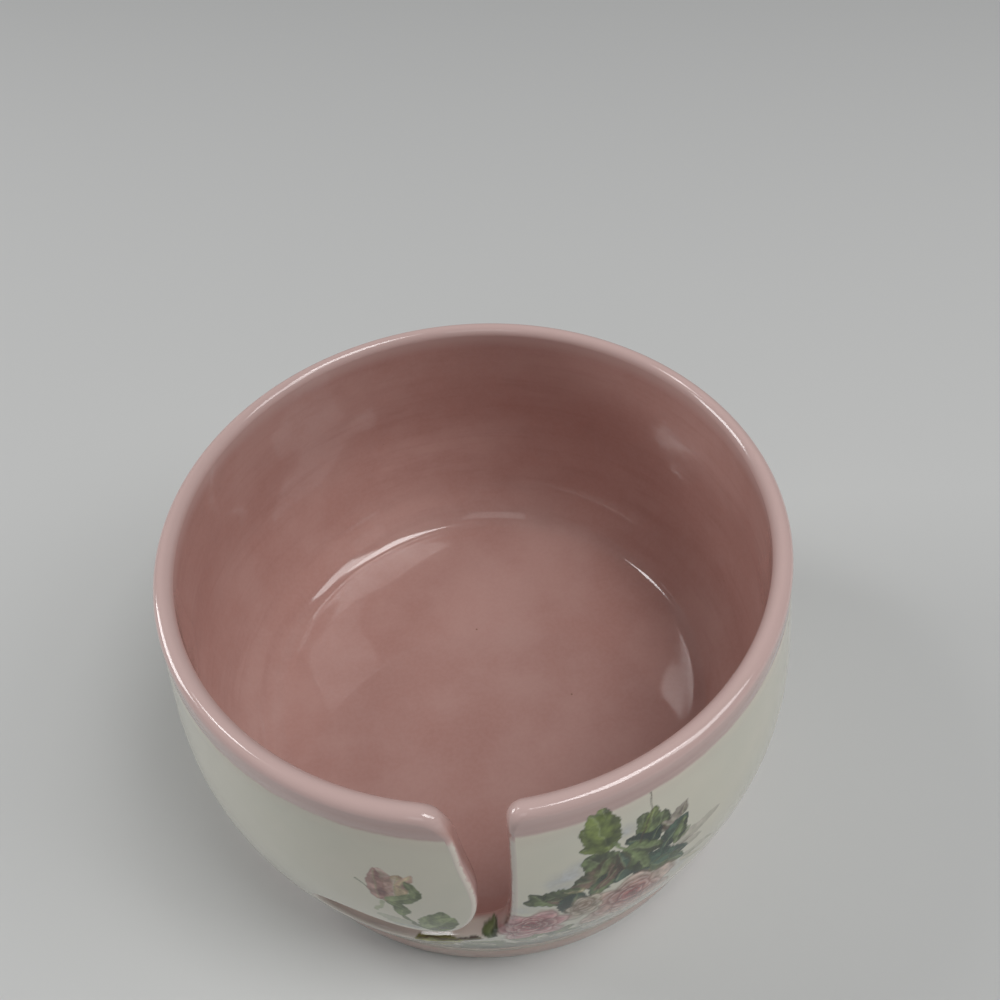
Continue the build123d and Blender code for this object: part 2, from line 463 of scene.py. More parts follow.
def make_piece(names, points, faces, normals, material, attributes):
    """A piece from points in millimetres, with exact normals, tied to the frame.

    The names are the piece's own, its CAD node's and its material slot's; the slot's name is not used.
    """
    name, node, slot = names
    mesh = bpy.data.meshes.new(name)
    mesh.from_pydata((points * MM).tolist(), [], faces)
    mesh.validate()
    mesh.update()
    mesh.polygons.foreach_set("use_smooth", [True] * len(mesh.polygons))
    mesh.normals_split_custom_set_from_vertices(normals.tolist())
    for label, values in attributes.items():
        kind = "FLOAT" if np.ndim(values) == 1 else "FLOAT_COLOR"
        layer = mesh.attributes.new(label, kind, "POINT")
        layer.data.foreach_set("value" if kind == "FLOAT" else "color", np.ravel(values))
    piece = added(name, mesh)
    mesh.materials.append(material)
    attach(piece, "root")
    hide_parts(node)


def glaze_piece(names, surface, regions, material):
    """A coat of glaze over some regions of the bowl's surface."""
    points, normals, blends, faces = surface
    wanted = [face for region in regions for face in faces[region]]
    both, facing_both, tints, made = shell(points, normals, blends, wanted, GLAZE)
    attributes = {"edge": tints}
    if "edge" in regions:
        attributes["paint"] = wrapped_paint(both)
    if "wall" in regions:
        attributes["paint"] = wall_paint(both)
    make_piece(names, both, made, facing_both, material, attributes)


def clay_piece(surface, material):
    """The fired clay under the glaze, bare under the foot."""
    points, normals, _, faces = surface
    depth = np.full(len(points), CLAY_DEPTH)
    depth[used(faces["under"])] = 0
    whole = [face for held in faces.values() for face in held]
    names = ("clay_bowl", "clay_body", "clay")
    make_piece(names, points - normals * depth[:, None], whole, normals, material, {})


class Shading:
    """A material with one Principled shader, and short ways to add nodes to it."""

    def __init__(self, name):
        self.material = bpy.data.materials.new(name)
        self.material.use_nodes = True
        self.tree = self.material.node_tree
        self.shader = self.tree.nodes["Principled BSDF"]
        self.place = self.tree.nodes.new("ShaderNodeTexCoord").outputs["Object"]

    def give(self, socket, value):
        """Links a socket to another one, or sets its value."""
        if isinstance(value, bpy.types.NodeSocket):
            self.tree.links.new(value, socket)
        elif isinstance(value, tuple) and len(value) == 3 and socket.type == "RGBA":
            socket.default_value = (*value, 1)
        else:
            socket.default_value = value

    def fill(self, node, inputs):
        """Gives a node's inputs their values by name, with _ for a space."""
        for label, value in inputs.items():
            self.give(node.inputs[label.replace("_", " ")], value)

    def set(self, **inputs):
        """Gives the Principled shader some inputs."""
        self.fill(self.shader, inputs)

    def node(self, kind, **inputs):
        """Adds a node with some inputs."""
        node = self.tree.nodes.new("ShaderNode" + kind)
        self.fill(node, inputs)
        return node

    def worked(self, kind, operation, *values):
        """The outputs of a new node that does an operation on the values, in order."""
        node = self.node(kind)
        node.operation = operation
        for socket, value in zip(node.inputs, values):
            self.give(socket, value)
        return node.outputs

    def calc(self, operation, first, second):
        """One operation on two numbers."""
        return self.worked("Math", operation, first, second)[0]

    def times(self, first, second):
        """The product of two numbers."""
        return self.calc("MULTIPLY", first, second)

    def stretched(self, x, y, z):
        """The place in metres, times a factor along each axis."""
        return self.worked("VectorMath", "MULTIPLY", self.place, (x, y, z))[0]

    def distance_from_axis(self):
        """How far a place is from the bowl's axis, in metres."""
        return self.worked("VectorMath", "LENGTH", self.stretched(1, 1, 0))["Value"]

    def height(self):
        """How high a place is, in metres."""
        return self.node("SeparateXYZ", Vector=self.place).outputs["Z"]

    def noise(self, scale, detail=3, roughness=0.55, vector=None):
        """Soft noise from 0 to 1."""
        vector = vector or self.place
        node = self.node("TexNoise", Vector=vector, Scale=scale, Detail=detail, Roughness=roughness)
        return node.outputs["Fac"]

    def spots(self, scale, radius, share):
        """Small round spots: one in each cell of a Voronoi pattern, in a share of the cells."""
        cell = self.node("TexVoronoi", Vector=self.place, Scale=scale)
        split = self.node("SeparateColor", Color=cell.outputs["Color"])
        near = self.span(cell.outputs["Distance"], radius, radius * 0.5)
        chosen = self.span(split.outputs[0], 1 - share, 1 - share + 0.01)
        return self.times(near, chosen)

    def foliage(self, scale):
        """How deep a place is inside one of many small leaf-like cells."""
        warp = self.node("TexNoise", Vector=self.place, Scale=scale * 1.6).outputs["Color"]
        reach = (0.9 / scale,) * 3
        shaken = self.worked("VectorMath", "MULTIPLY_ADD", warp, reach, self.place)[0]
        cell = self.node("TexVoronoi")
        cell.feature = "DISTANCE_TO_EDGE"
        self.fill(cell, {"Vector": shaken, "Scale": scale})
        return cell.outputs["Distance"]

    def span(self, value, low, high, bottom=0, top=1):
        """Carries low..high to bottom..top, smoothly and with both ends held."""
        ends = {"From_Min": low, "From_Max": high, "To_Min": bottom, "To_Max": top}
        node = self.node("MapRange", Value=value, **ends)
        node.interpolation_type = "SMOOTHSTEP"
        return node.outputs["Result"]

    def span_mm(self, value, ends, bottom=0, top=1):
        """The same for a length in metres, with the two ends in millimetres."""
        return self.span(value, ends[0] * MM, ends[1] * MM, bottom, top)

    def mix(self, factor, first, second):
        """A colour between two colours."""
        node = self.node("Mix")
        node.data_type = "RGBA"
        self.give(node.inputs["Factor"], factor)
        self.give(node.inputs[MIX_A], first)
        self.give(node.inputs[MIX_B], second)
        return node.outputs[MIX_RESULT]

    def attribute(self, label, output="Fac"):
        """A value that the mesh carries at its points."""
        node = self.node("Attribute")
        node.attribute_name = label
        return node.outputs[output]

    def bump(self, height, strength, distance):
        """Small unevenness in the surface."""
        node = self.node("Bump", Height=height, Strength=strength, Distance=distance)
        self.set(Normal=node.outputs["Normal"])


# The sockets of a Mix node that hold colours
MIX_A, MIX_B, MIX_RESULT = 6, 7, 2

# Colours, as linear red, green and blue
PINK = (0.52, 0.3, 0.262)
PALE_PINK = (0.64, 0.43, 0.39)
DEEP_PINK = (0.43, 0.225, 0.195)
RIM_PINK = (0.68, 0.5, 0.47)
PINK_SPECK = (0.3, 0.17, 0.13)
IVORY = (0.76, 0.725, 0.605)
COOL_IVORY = (0.705, 0.69, 0.58)
WARM_IVORY = (0.76, 0.715, 0.625)
EDGE_IVORY = (0.745, 0.675, 0.59)
IVORY_SPECK = (0.42, 0.36, 0.28)
FOOT_PINK = (0.66, 0.525, 0.46)
FOOT_SPECK = (0.16, 0.13, 0.1)
CLAY = (0.7, 0.64, 0.55)
DARK_CLAY = (0.64, 0.57, 0.475)
GREY_CLAY = (0.62, 0.585, 0.53)
WORN_CLAY = (0.48, 0.44, 0.39)

# Where one colour passes into another: heights, or distances from the axis
RIM_HEIGHTS = (HEIGHT - 7, HEIGHT - 1.5)
CUT_RADII = (BELLY_RADIUS - 4.8, BELLY_RADIUS - 3.2)
POCKET_RADII = (BELLY_RADIUS - 6, BELLY_RADIUS - 4.4)
POCKET_HEIGHTS = (41, 37)
BELOW_BAND = (BAND_LOW - 2.6, BAND_LOW - 0.6)
BAND_EDGE = (BAND_LOW - 1.1, BAND_LOW)
BLUSH = (BAND_LOW - 6, BAND_LOW - 0.5)
FOOT_EDGE_HEIGHTS = (FOOT_TOP - 1, FOOT_TOP)
WORN_HEIGHTS = (0.6, 0.05)
WASH_HEIGHTS = (33, 36)

# Widths of the glazes' textures, as cells to a metre
CLOUDS, GRAIN, BRUSH = 38, 900, (34, 34, 330)
THROWING_LINES = (70, 70, 620)
LEAF_CELLS = 190


def pink_colour(look):
    """Sponged pink: soft clouds, faint level brush marks and a fine sugary grain."""
    clouds = look.span(look.noise(CLOUDS), 0.36, 0.66)
    strokes = look.noise(1, 4, 0.6, look.stretched(*BRUSH))
    grain = look.span(look.noise(GRAIN, 2), 0.35, 0.65)
    colour = look.mix(clouds, PINK, PALE_PINK)
    colour = look.mix(0.42, PINK, colour)
    colour = look.mix(look.span(strokes, 0.45, 0.75, 0, 0.28), colour, DEEP_PINK)
    colour = look.mix(look.span(grain, 0, 1, 0, 0.1), colour, PALE_PINK)
    colour = look.mix(paler_share(look), colour, RIM_PINK)
    # The slot's lower lip turns ivory: partly its thin pale glaze, and partly painted light that
    # lightens the cut where it lies in shade
    deep = look.span_mm(look.distance_from_axis(), POCKET_RADII)
    lip = look.span_mm(look.height(), POCKET_HEIGHTS, 0, 0.85)
    colour = look.mix(look.times(deep, lip), colour, EDGE_IVORY)
    return look.mix(look.spots(90, 0.03, 0.16), colour, PINK_SPECK)


def paler_share(look):
    """How much paler the pink is, at the rim and on the slot's cut faces. On the cut faces it is
    partly pale thin glaze and partly painted light, lightening faces that lie in shade.
    """
    rim = look.span_mm(look.height(), RIM_HEIGHTS)
    cut = look.span_mm(look.distance_from_axis(), CUT_RADII)
    share = look.calc("MAXIMUM", rim, look.times(cut, 0.9))
    return look.times(share, 0.85)


def ivory_colour(look):
    """Off-white glaze with faint cool and warm clouds and a few pinholes."""
    clouds = look.span(look.noise(30, 4), 0.35, 0.68)
    colour = look.mix(clouds, IVORY, COOL_IVORY)
    warm = look.span(look.noise(85), 0.52, 0.74, 0, 0.25)
    colour = look.mix(warm, colour, WARM_IVORY)
    return look.mix(look.spots(75, 0.022, 0.2), colour, IVORY_SPECK)


def gloss(look, coat=0.12):
    """A glassy surface that is very slightly uneven, with faint level throwing lines."""
    smear = look.span(look.noise(60), 0.3, 0.7, 0.07, 0.15)
    look.set(Roughness=smear, IOR=1.46, Coat_Weight=coat, Coat_Roughness=0.03)
    slow = look.noise(55, 2, 0.5)
    lines = look.noise(1, 3, 0.6, look.stretched(*THROWING_LINES))
    fine = look.noise(420, 2, 0.5)
    height = look.calc("ADD", slow, look.times(lines, 0.22))
    look.bump(look.calc("ADD", height, look.times(fine, 0.08)), 0.35, 0.12 * MM)


def liner_material():
    """The pink glaze, with a pale ragged line where it runs thin on the slot's edge."""
    look = Shading("pink_glaze_gloss")
    ragged = look.span(look.noise(700), 0.3, 0.7, 0.4, 1.6)
    on_edge = look.times(look.attribute("edge"), ragged)
    below = look.span_mm(look.height(), BELOW_BAND, 1, 0)
    pale = look.times(look.span(on_edge, 0.03, 0.3), below)
    colour = look.mix(pale, pink_colour(look), EDGE_IVORY)
    cover, paint = look.attribute("paint", "Alpha"), look.attribute("paint", "Color")
    look.set(Base_Color=look.mix(cover, colour, paint))
    gloss(look, 0.45)
    return look.material


def wall_colour(look):
    """Ivory that passes into the rim's pink at the top."""
    ragged = look.times(look.calc("SUBTRACT", look.noise(260, 4), 0.5), 1.1 * MM)
    level = look.calc("ADD", look.height(), ragged)
    pink = look.span_mm(level, BAND_EDGE)
    blush = look.span_mm(level, BLUSH, 0, 0.12)
    colour = look.mix(blush, ivory_colour(look), PALE_PINK)
    return look.mix(pink, colour, pink_colour(look))


def wall_material(name):
    """The ivory glaze with the printed colours in it, and the wash low down, partly painted shade,
    broken into leaves.
    """
    look = Shading(name)
    broken = look.span(look.foliage(LEAF_CELLS), 0.02, 0.2, 3, -0.45)
    ground = look.span_mm(look.height(), WASH_HEIGHTS, 1, 0)
    power = look.calc("ADD", 1, look.times(broken, ground))
    cover = look.calc("POWER", look.attribute("paint", "Alpha"), power)
    look.set(Base_Color=look.mix(cover, wall_colour(look), look.attribute("paint", "Color")))
    gloss(look)
    return look.material


def foot_material():
    """The foot's paler pink, with dark specks."""
    look = Shading("pink_foot_gloss")
    clouds = look.span(look.noise(70), 0.35, 0.65)
    colour = look.mix(clouds, FOOT_PINK, PINK)
    colour = look.mix(0.55, FOOT_PINK, colour)
    top = look.span_mm(look.height(), FOOT_EDGE_HEIGHTS)
    colour = look.mix(look.times(top, 0.6), colour, COOL_IVORY)
    look.set(Base_Color=look.mix(look.spots(60, 0.045, 0.22), colour, FOOT_SPECK))
    gloss(look)
    return look.material


def clay_material():
    """Fired clay: matt, a little gritty, and greyer where it has stood."""
    look = Shading("bisque_clay")
    grit = look.span(look.noise(1500, 4, 0.65), 0.3, 0.7)
    clouds = look.span(look.noise(40), 0.35, 0.65, 0, 0.5)
    colour = look.mix(grit, DARK_CLAY, CLAY)
    colour = look.mix(clouds, colour, GREY_CLAY)
    worn = look.span_mm(look.height(), WORN_HEIGHTS)
    colour = look.mix(look.times(worn, 0.35), colour, WORN_CLAY)
    look.set(Base_Color=colour, Roughness=look.span(grit, 0, 1, 0.72, 0.92))
    look.bump(look.noise(1800, 3, 0.6), 0.5, 0.05 * MM)
    return look.material


# The painter's hand and brush, in millimetres and shares
CLOUD_CELLS = 97
SHAKE, SLOW_WAVE, QUICK_WAVE = 0.95, 2.6, 1.1
EDGE_SOFT = 0.32
GRAIN_SIZE, GRAIN_SHARE = 0.55, 0.2
PATCH_SIZE, PATCH_SHARE = 1.8, 0.28
LEAF_SHOULDER, LEAF_FULLNESS = 0.78, 0.62
TOOTH_RATE, VEIN_RATE, VEIN_SLANT = 2.3, 2.9, 0.9
RIB_WIDTH, LEAF_RIM, LEAF_SHADOW = 0.24, 0.7, 0.6
PETAL_SHADOW, PETAL_LIP = 0.9, 0.34
PETAL_RINGS = [(1, 6), (0.74, 5), (0.5, 4), (0.27, 3)]  # reach, and number of petals
RING_TURN = 1.9
PETAL_PLACE, PETAL_LONG, PETAL_WIDE = 0.55, 0.46, 2.3

# The colours of the print, as linear red, green and blue, with a dark and a light one for leaves
RIB = (0.36, 0.42, 0.22)
PETAL_LIGHT = (0.72, 0.6, 0.54)
LIME = (0.095, 0.125, 0.032), (0.21, 0.27, 0.065)
LIME_SHADE = (0.03, 0.042, 0.014)
LEAF = (0.045, 0.062, 0.026), (0.18, 0.24, 0.095)
TEAL = (0.015, 0.036, 0.026), (0.06, 0.12, 0.08)
GREY = (0.115, 0.15, 0.06), (0.27, 0.33, 0.155)
BROWN = (0.075, 0.045, 0.03), (0.22, 0.14, 0.1)
FADED = (0.25, 0.21, 0.17), (0.44, 0.38, 0.33)
OLIVE = (0.2, 0.18, 0.05), (0.4, 0.38, 0.11)
BLUE_WASH = (0.42, 0.45, 0.5)
GREEN_WASH = (0.27, 0.32, 0.22)
# Partly print and partly painted shade: the lower wall's washes are darkened to stand in for the shade
# under the belly and by the foot
GROUND_WASH_AND_SHADE = (0.12, 0.16, 0.09)
DARK_WASH_AND_SHADE = (0.06, 0.092, 0.055)
SMALL_ROSE = ((0.25, 0.065, 0.075), (0.54, 0.27, 0.28)), ((0.18, 0.022, 0.03), (0.38, 0.1, 0.11))
LARGE_ROSE = ((0.27, 0.16, 0.115), (0.6, 0.46, 0.38)), ((0.21, 0.035, 0.038), (0.44, 0.15, 0.14))
CREAM_BUD = ((0.25, 0.2, 0.14), (0.58, 0.53, 0.41)), ((0.23, 0.15, 0.1), (0.5, 0.39, 0.29))
CREAM, CREAM_DEEP = (0.66, 0.53, 0.33), (0.42, 0.27, 0.18)
MAUVE, MAUVE_SHADE = (0.5, 0.3, 0.26), (0.32, 0.16, 0.14)
MAUVE_DEEP = (0.17, 0.05, 0.065)


def clouds(s, z, size, seed):
    """Soft random values from 0 to 1 that change over about size millimetres."""
    grid = np.random.default_rng(seed).random((CLOUD_CELLS, CLOUD_CELLS))
    x, y = np.mod(s / size, CLOUD_CELLS - 1), np.mod(z / size, CLOUD_CELLS - 1)
    i, j = x.astype(int), y.astype(int)
    fx, fy = smooth_step(x - i), smooth_step(y - j)
    low = grid[i, j] * (1 - fx) + grid[i + 1, j] * fx
    high = grid[i, j + 1] * (1 - fx) + grid[i + 1, j + 1] * fx
    return low * (1 - fy) + high * fy


def blended(first, second, share):
    """A colour between two colours, at each place."""
    share = np.clip(share, 0, 1)[:, None]
    return np.asarray(first) * (1 - share) + np.asarray(second) * share


class Painting:
    """Ceramic colours laid over each other at places of the flat drawing, with a shaky hand."""

    def __init__(self, s, z):
        wave_s = clouds(s, z, SLOW_WAVE, 1) + 0.5 * clouds(s, z, QUICK_WAVE, 2) - 0.75
        wave_z = clouds(s, z, SLOW_WAVE, 3) + 0.5 * clouds(s, z, QUICK_WAVE, 4) - 0.75
        self.s, self.z = s + SHAKE * wave_s, z + SHAKE * wave_z
        self.grain = clouds(s, z, GRAIN_SIZE, 5) - 0.5
        self.patch = clouds(s, z, PATCH_SIZE, 6) - 0.5
        self.colour, self.cover = np.zeros((len(s), 3)), np.zeros(len(s))

    def lay(self, mask, colour):
        """Lays a colour over what is there, as thickly as mask says."""
        mask = np.clip(mask, 0, 1)
        tone = 1 + GRAIN_SHARE * self.grain + PATCH_SHARE * self.patch
        colour = np.asarray(colour, float) * tone[:, None]
        cover = mask + self.cover * (1 - mask)
        held = self.colour * (self.cover * (1 - mask))[:, None]
        self.colour = (held + colour * mask[:, None]) / np.maximum(cover, 1e-6)[:, None]
        self.cover = cover

    def leaf(self, base, tip, width, tones, teeth=0.1, curl=0, strength=0.97):
        """A broad leaf with a pale rib, side veins, a shaded half and a toothed edge."""
        dark, light = tones
        way = np.subtract(tip, base)
        length = math.hypot(*way)
        ds, dz = self.s - base[0], self.z - base[1]
        along = (ds * way[0] + dz * way[1]) / length**2
        inside = np.clip(along, 0, 1)
        across = (dz * way[0] - ds * way[1]) / length - curl * np.sin(math.pi * inside)
        half = width / 2 * np.sin(math.pi * inside**LEAF_SHOULDER) ** LEAF_FULLNESS
        half = half * (1 + teeth * (2 * np.abs(np.sin(inside * length * TOOTH_RATE)) - 1))
        within = (along > 0) & (along < 1)
        depth = half - np.abs(across)
        mask = np.clip(depth / EDGE_SOFT + 0.5, 0, 1) * within
        veins = np.sin((inside * length - np.abs(across) * VEIN_SLANT) * VEIN_RATE)
        lit = 0.45 + 0.32 * np.sign(across) + 0.14 * veins + self.patch
        rib = 0.4 * np.exp(-((across / RIB_WIDTH) ** 2)) * (inside < 0.9)
        colour = blended(blended(dark, light, lit), RIB, rib)
        rim = 0.55 * np.clip(1 - depth / LEAF_RIM, 0, 1)
        shadow = np.clip((half + LEAF_SHADOW - np.abs(across)) / LEAF_SHADOW, 0, 1) * within
        self.lay(0.35 * shadow * (self.cover > 0.4), dark)
        self.lay(strength * mask, blended(colour, dark, rim))

    def petal(self, centre, way, reach, width, deep, pale):
        """One petal: dark where it goes into the flower, with a shadow round it and a light lip."""
        ds, dz = self.s - centre[0], self.z - centre[1]
        out, aside = ds * way[0] + dz * way[1], dz * way[0] - ds * way[1]
        away = np.hypot(out / reach, aside / width)
        small = min(reach, width)
        shadow = 1 - (away - 1) * small / PETAL_SHADOW
        self.lay(0.75 * np.clip(shadow, 0, 1) * (out > -reach / 2), deep)
        outward = smooth_step(0.5 + 0.55 * out / reach)
        tone = blended(deep, pale, 0.2 + 0.85 * outward + 0.5 * self.patch)
        self.lay((1 - away) * small / EDGE_SOFT + 0.5, tone)
        lip = np.exp(-(((away - 0.9) * small / PETAL_LIP) ** 2)) * (away < 1) * (out > 0)
        self.lay(0.75 * lip, blended(pale, PETAL_LIGHT, np.full(len(ds), 0.6)))

    def rose(self, centre, size, heart, outer, inner, turned=0):
        """A full rose: rings of petals from the outer pair of colours in to the heart's pair."""
        last = len(PETAL_RINGS) - 1
        for k, (reach, petals) in enumerate(PETAL_RINGS):
            share = (k / last) ** 0.8
            pairs = zip(outer, inner)
            deep, pale = [np.multiply(a, 1 - share) + np.multiply(b, share) for a, b in pairs]
            x = centre[0] + heart[0] * size[0] * (1 - reach)
            z = centre[1] + heart[1] * size[1] * (1 - reach)
            wide = (size[0] + size[1]) / 2 * reach * PETAL_WIDE / petals
            for i in range(petals):
                uneven = i + 0.16 * math.sin(5 * i + k)
                angle = turned + RING_TURN * k + uneven * 2 * math.pi / petals
                way = (math.cos(angle), math.sin(angle))
                out = [way[n] * size[n] * PETAL_PLACE * reach for n in (0, 1)]
                long = PETAL_LONG * reach * (size[0] * abs(way[0]) + size[1] * abs(way[1])) / 1.15
                self.petal((x + out[0], z + out[1]), way, long, wide, deep, pale)
        middle = (centre[0] + heart[0] * size[0], centre[1] + heart[1] * size[1])
        self.wash(middle, (0.12 * size[0], 0.12 * size[1]), inner[0], 0.8)

    def stem(self, through, width, colour, strength=0.9):
        """A thin line through some points."""
        near = np.full(len(self.s), FAR)
        for x, y in walk(through, 0.4):
            near = np.minimum(near, np.hypot(self.s - x, self.z - y))
        self.lay(strength * np.clip((width / 2 - near) / 0.22 + 0.5, 0, 1), colour)

    def wash(self, centre, size, colour, strength):
        """A thin cloud of colour with no edge."""
        away = np.hypot((self.s - centre[0]) / size[0], (self.z - centre[1]) / size[1])
        self.lay(strength * np.exp(-(away**4)) * (0.8 + self.patch), colour)

    def result(self):
        """Colour and cover, as one row of four numbers for each place."""
        return np.concatenate([self.colour, self.cover[:, None]], axis=1)


def paint_rosebud(art):
    """One bud with its sepals and stem, and a round leaf."""
    art.leaf((-19, 43.6), (-27.4, 47.4), 3.4, (GREEN_WASH, GREY[1]), 0.1, 0.3, 0.45)
    art.leaf((-18.5, 42.9), (-25, 43.4), 1.8, (BLUE_WASH, GREEN_WASH), 0.1, 0, 0.4)
    art.stem([(-25.6, 53.6), (-26.6, 51.6), (-27.4, 49.2)], 0.9, GREY[1], 0.6)
    art.stem([(-30.2, 61), (-28.8, 59.4), (-27.6, 57.8)], 0.4, GREY[0], 0.7)
    art.stem([(-22.3, 53), (-22.2, 50), (-20.9, 46.6), (-18, 43.6)], 1.1, GREY[0])
    art.leaf((-16.6, 42.2), (-13.4, 53.2), 7.6, GREY, 0.05)
    art.leaf((-17.2, 43), (-11.2, 50.6), 6, GREY, 0.05)
    art.leaf((-22.2, 48.6), (-22.4, 55.8), 3.6, (GREY[0], LEAF[1]), 0.03)
    art.leaf((-21.6, 52.2), (-25.4, 55.4), 2, (GREY[0], LEAF[1]), 0.03)
    art.leaf((-23.8, 54.4), (-21.4, 66), 6.2, (CREAM_DEEP, CREAM), 0.02, 0.4)
    art.leaf((-22.6, 55.6), (-22, 65.4), 3.8, (CREAM, PETAL_LIGHT), 0.02, 0.2, 0.85)
    art.leaf((-21.2, 60.4), (-18.8, 66.2), 2.4, (MAUVE, CREAM), 0.03, 0.3)
    art.leaf((-25.2, 54.4), (-25, 67.2), 4, (MAUVE, PETAL_LIGHT), 0.02, -0.2, 0.8)
    art.leaf((-26, 54.4), (-25.8, 66.8), 3.6, (MAUVE_SHADE, MAUVE), 0.02, 0.5, 0.92)
    art.wash((-25.3, 57.4), (1.2, 1.6), MAUVE_DEEP, 0.75)
    art.leaf((-24.8, 55), (-17.2, 60.2), 3.2, GREY, 0.03, -0.9)
    art.leaf((-18.8, 57.4), (-20.2, 63.6), 2.4, GREY, 0.03, -0.6)


# Washes as middle, size and strength, and leaves as base, tip, width, colours and strength
SPRAY_WASHES = [
    ((10, 60.5), (3.4, 3.6), 0.5),
    ((13.6, 64), (2.6, 3.2), 0.4),
    ((24.2, 70.2), (2.4, 2.4), 0.5),
    ((2.6, 52.6), (4, 2), 0.3),
    ((36, 42.5), (3, 4.5), 0.35),
]
SPRAY_LEAVES = [
    ((33, 54.6), (47, 56.2), 3.6, FADED, 0.5),
    ((35, 53), (42.4, 51.4), 3, FADED, 0.5),
    ((36, 47.4), (46.4, 44.4), 2.6, (GREY[0], FADED[1]), 0.45),
    ((36, 46), (43.4, 40.4), 2.2, (GREEN_WASH, CREAM), 0.45),
    ((34.6, 57), (38.8, 58.4), 3, GREY, 0.6),
    ((31.4, 63.2), (38.4, 68.4), 3.8, FADED, 0.9),
    ((36.6, 64.6), (38.2, 68.2), 1.8, (BROWN[0], FADED[1]), 0.8),
    ((27.2, 66.6), (27.4, 73.4), 3.6, LEAF),
    ((28.6, 65.4), (30.2, 74), 4.4, (LEAF[0], LIME[1])),
    ((29.6, 64.4), (32.8, 70.6), 5.2, LEAF),
    ((31.6, 66.6), (34, 62), 2.2, (BROWN[0], FADED[1]), 0.85),
    ((31.2, 57), (38, 64), 6.6, TEAL),
    ((34.6, 55.6), (37.6, 63.4), 3.4, LEAF),
    ((31, 62.2), (23, 67.2), 4, TEAL),
    ((28.4, 61.4), (31.4, 66), 3.2, TEAL),
    ((22.6, 64.4), (31.6, 58.6), 5.4, LEAF),
    ((26.4, 57.2), (34, 53.6), 4.6, TEAL),
    ((24.6, 57.6), (33.4, 49.6), 6.6, TEAL),
    ((26.4, 54.6), (38, 51), 6.4, TEAL),
    ((28.6, 53.2), (37.4, 47.2), 5.4, (GREY[0], TEAL[1])),
    ((24.6, 60.4), (20.6, 52.6), 6.6, TEAL),
    ((24.4, 60.8), (28.2, 52.8), 5, LEAF),
    ((21.4, 59.4), (14.2, 66.4), 8, LEAF),
    ((21.4, 58.6), (12, 57.6), 8, (LEAF[0], BROWN[1])),
    ((19.4, 63.6), (16, 56.6), 3.2, (BROWN[0], LEAF[1]), 0.7),
    ((19.6, 58.4), (16.4, 50), 5, (TEAL[0], LEAF[1])),
    ((21.8, 58.6), (17.4, 53), 3, BROWN),
    ((21.6, 63.8), (23.4, 56.8), 3, (BROWN[0], TEAL[1]), 0.9),
    ((13.6, 54.6), (2, 55.4), 6.6, LEAF),
    ((6.6, 53.4), (3.4, 58.6), 3.2, LEAF),
    ((14, 52), (7, 54.2), 3.8, (LEAF[0], BROWN[1])),
    ((12.6, 54.6), (11, 45.6), 6.4, TEAL),
    ((14.6, 54.6), (10.6, 56.6), 2.2, (GREY[0], CREAM), 0.8),
    ((21.2, 67.4), (13.8, 69.8), 3.8, LIME),
    ((19.4, 67), (14.6, 76.4), 5, LIME),
    ((20.4, 66.8), (19.2, 82.2), 5, LIME),
    ((19.8, 66.8), (16.8, 80.4), 5.4, LIME),
]


def paint_ground_and_shade(art):
    """The loose grey-green wash on the lower wall, under all of the spray. It is partly print and
    partly painted shade, darker where the wall curves in under the belly towards the foot.
    """
    art.wash((1, 26), (18, 9.5), GROUND_WASH_AND_SHADE, 0.95)
    art.wash((19, 29), (12, 7), GROUND_WASH_AND_SHADE, 0.6)
    art.wash((9, 21), (13, 4.5), DARK_WASH_AND_SHADE, 0.8)
    art.wash((-7, 23), (8, 5), DARK_WASH_AND_SHADE, 0.7)


def wall_paint(points):
    """The wash, partly painted shade, where the wall has no printed sheet over it, as colour and
    cover.
    """
    art = Painting(length_round(points), points[:, 2])
    paint_ground_and_shade(art)
    return art.result()


def paint_rose_spray(art):
    """The leaves, back to front, and then two roses and a bud."""
    for centre, size, strength in SPRAY_WASHES:
        art.wash(centre, size, BLUE_WASH, strength)
    for base, tip, width, tones, *strength in SPRAY_LEAVES:
        art.leaf(base, tip, width, tones, 0.07, 0, *strength)
    art.wash((19.4, 69.6), (1.5, 1.4), LIME_SHADE, 0.9)
    art.stem([(29.3, 78.4), (29.2, 73), (27.8, 68), (26.4, 64)], 0.45, BROWN[0], 0.75)
    art.stem([(20.9, 68.4), (22.4, 65.6), (24.2, 63), (25.6, 58)], 0.7, LEAF[1], 0.9)
    art.stem([(20.6, 60), (19, 56.4), (16.8, 53.6)], 0.6, BROWN[1], 0.8)
    art.leaf((8, 35.5), (-3.6, 32.4), 3.2, GREY, 0.06)
    art.leaf((6, 34), (15, 31), 3, (TEAL[0], GREY[1]), 0.06)
    art.leaf((12, 37.5), (9, 31.5), 2.6, GREY, 0.06)
    art.rose((24, 41.6), (10.4, 10.6), (0.1, 0.26), *LARGE_ROSE, 0.5)
    art.rose((14.2, 46.6), (3.6, 5.6), (0, 0.3), *CREAM_BUD, 0.9)
    art.rose((3.3, 42), (7.2, 8.2), (0.05, 0.34), *SMALL_ROSE, 2.2)


